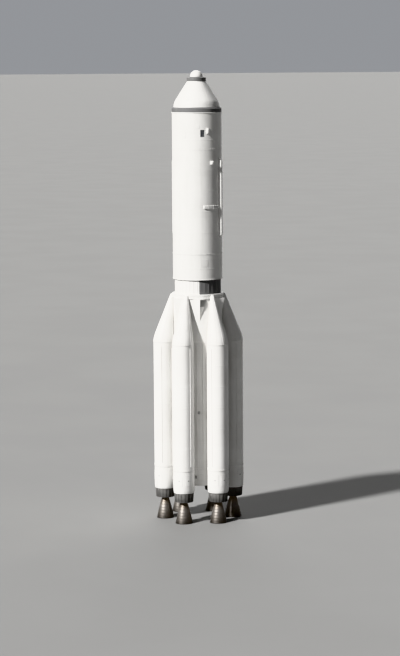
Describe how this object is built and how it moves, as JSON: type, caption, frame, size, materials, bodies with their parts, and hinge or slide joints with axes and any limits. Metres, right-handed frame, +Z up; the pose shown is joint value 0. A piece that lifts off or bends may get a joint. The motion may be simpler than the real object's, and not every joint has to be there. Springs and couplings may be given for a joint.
{
  "type": "two-stage space rocket",
  "caption": "Two-stage launch rocket: core tank ringed by side tanks with slanted noses and swivelling engines, a second stage, payload section and blunt nose cone.",
  "frame": {"origin": "centre of the core's flat tail face, by which the rocket is held", "axes": "+Z up along the rocket towards its nose, -Y out between two side tanks on the side that the picture shows, +X to that view's right"},
  "size_m": [7.504, 6.7338, 37.45],
  "materials": {
    "white_paint": "satin white paint",
    "dark_paint": "matte dark grey paint",
    "heat_shield": "matte heat-proof coating",
    "engine_metal": "heat-tinted steel"
  },
  "bodies": {
    "rocket": {"core_tail_bay": "white_paint", "core_oxidizer_tank": "white_paint", "core_upper_skirt": "white_paint", "core_frame_ring": "white_paint", "side_tank_1": "white_paint", "side_nose_1": "white_paint", "engine_bay_1": "white_paint", "heat_shield_1": "heat_shield", "side_tank_2": "white_paint", "side_nose_2": "white_paint", "engine_bay_2": "white_paint", "heat_shield_2": "heat_shield", "side_tank_3": "white_paint", "side_nose_3": "white_paint", "engine_bay_3": "white_paint", "heat_shield_3": "heat_shield", "side_tank_4": "white_paint", "side_nose_4": "white_paint", "engine_bay_4": "white_paint", "heat_shield_4": "heat_shield", "side_tank_5": "white_paint", "side_nose_5": "white_paint", "engine_bay_5": "white_paint", "heat_shield_5": "heat_shield", "side_tank_6": "white_paint", "side_nose_6": "white_paint", "engine_bay_6": "white_paint", "heat_shield_6": "heat_shield", "interstage_panel_1": "dark_paint", "interstage_panel_2": "white_paint", "interstage_panel_3": "dark_paint", "interstage_panel_4": "white_paint", "stage2_engine_block": "engine_metal", "stage2_engine_bay": "white_paint", "stage2_tanks": "white_paint", "stage2_blister": "white_paint", "cable_duct_front": "white_paint", "cable_duct_rear": "white_paint", "payload_section": "white_paint", "sensor_window": "dark_paint", "payload_blister": "white_paint", "nose_joint_ring": "dark_paint", "nose_cone": "white_paint", "nose_collar": "dark_paint", "nose_cap": "white_paint"},
    "swivel_1": {"engine_1": "engine_metal"},
    "swivel_2": {"engine_2": "engine_metal"},
    "swivel_3": {"engine_3": "engine_metal"},
    "swivel_4": {"engine_4": "engine_metal"},
    "swivel_5": {"engine_5": "engine_metal"},
    "swivel_6": {"engine_6": "engine_metal"}
  },
  "joints": [
    {"name": "engine_1_swing", "type": "hinge", "parent": "rocket", "child": "swivel_1", "pos_m": [1.43, -2.47683, -0.25], "axis": [0.5, -0.866, 0], "range_deg": [-7.5, 7.5]},
    {"name": "engine_2_swing", "type": "hinge", "parent": "rocket", "child": "swivel_2", "pos_m": [2.86, 0, -0.25], "axis": [1, 0, 0], "range_deg": [-7.5, 7.5]},
    {"name": "engine_3_swing", "type": "hinge", "parent": "rocket", "child": "swivel_3", "pos_m": [1.43, 2.47683, -0.25], "axis": [0.5, 0.866, 0], "range_deg": [-7.5, 7.5]},
    {"name": "engine_4_swing", "type": "hinge", "parent": "rocket", "child": "swivel_4", "pos_m": [-1.43, 2.47683, -0.25], "axis": [-0.5, 0.866, 0], "range_deg": [-7.5, 7.5]},
    {"name": "engine_5_swing", "type": "hinge", "parent": "rocket", "child": "swivel_5", "pos_m": [-2.86, 0, -0.25], "axis": [-1, 0, 0], "range_deg": [-7.5, 7.5]},
    {"name": "engine_6_swing", "type": "hinge", "parent": "rocket", "child": "swivel_6", "pos_m": [-1.43, -2.47683, -0.25], "axis": [-0.5, -0.866, 0], "range_deg": [-7.5, 7.5]}
  ]
}
